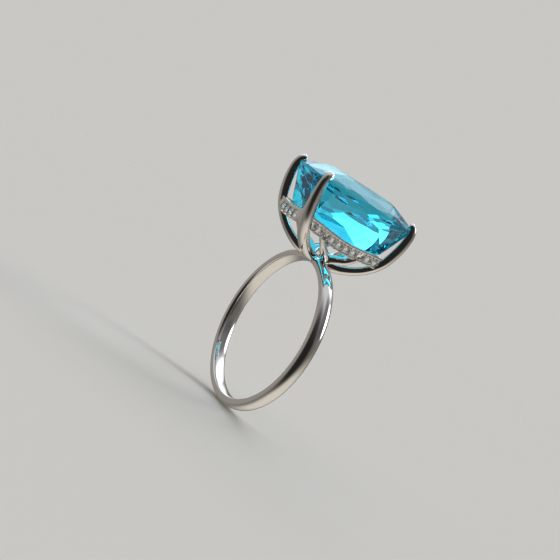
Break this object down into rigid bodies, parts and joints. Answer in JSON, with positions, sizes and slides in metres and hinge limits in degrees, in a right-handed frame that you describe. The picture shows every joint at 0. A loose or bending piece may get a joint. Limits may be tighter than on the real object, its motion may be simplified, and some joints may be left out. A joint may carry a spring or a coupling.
{
  "type": "cocktail ring",
  "caption": "Finger ring: slim polished shank, clawed head with a stone-set gallery rail, and a long cushion-cut blue stone set along the finger.",
  "frame": {"origin": "centre of the finger bore, at the middle of the shank's width", "axes": "+Y along the finger, +Z from the bore to the head and its centre stone, +X across the hand"},
  "size_m": [0.0196, 0.014, 0.0288],
  "materials": {
    "shank_metal": "mirror-polished white metal",
    "head_metal": "mirror-polished white metal",
    "blue_stone": "faceted, polished, transparent sky blue",
    "clear_stone": "faceted, polished, colourless"
  },
  "bodies": {
    "root": {"shank": "shank_metal", "centre_stone": "blue_stone", "claw_1": "head_metal", "claw_2": "head_metal", "claw_3": "head_metal", "claw_4": "head_metal", "rail_side_right": "head_metal", "rail_side_left": "head_metal", "rail_end_front": "head_metal", "rail_end_back": "head_metal", "bracket_right": "head_metal", "bracket_left": "head_metal", "melee_right_1": "clear_stone", "melee_right_2": "clear_stone", "melee_right_3": "clear_stone", "melee_right_4": "clear_stone", "melee_right_5": "clear_stone", "melee_right_6": "clear_stone", "melee_right_7": "clear_stone", "melee_right_8": "clear_stone", "melee_right_9": "clear_stone", "melee_right_10": "clear_stone", "melee_left_1": "clear_stone", "melee_left_2": "clear_stone", "melee_left_3": "clear_stone", "melee_left_4": "clear_stone", "melee_left_5": "clear_stone", "melee_left_6": "clear_stone", "melee_left_7": "clear_stone", "melee_left_8": "clear_stone", "melee_left_9": "clear_stone", "melee_left_10": "clear_stone", "melee_front_1": "clear_stone", "melee_front_2": "clear_stone", "melee_front_3": "clear_stone", "melee_front_4": "clear_stone", "melee_back_1": "clear_stone", "melee_back_2": "clear_stone", "melee_back_3": "clear_stone", "melee_back_4": "clear_stone"}
  },
  "joints": []
}
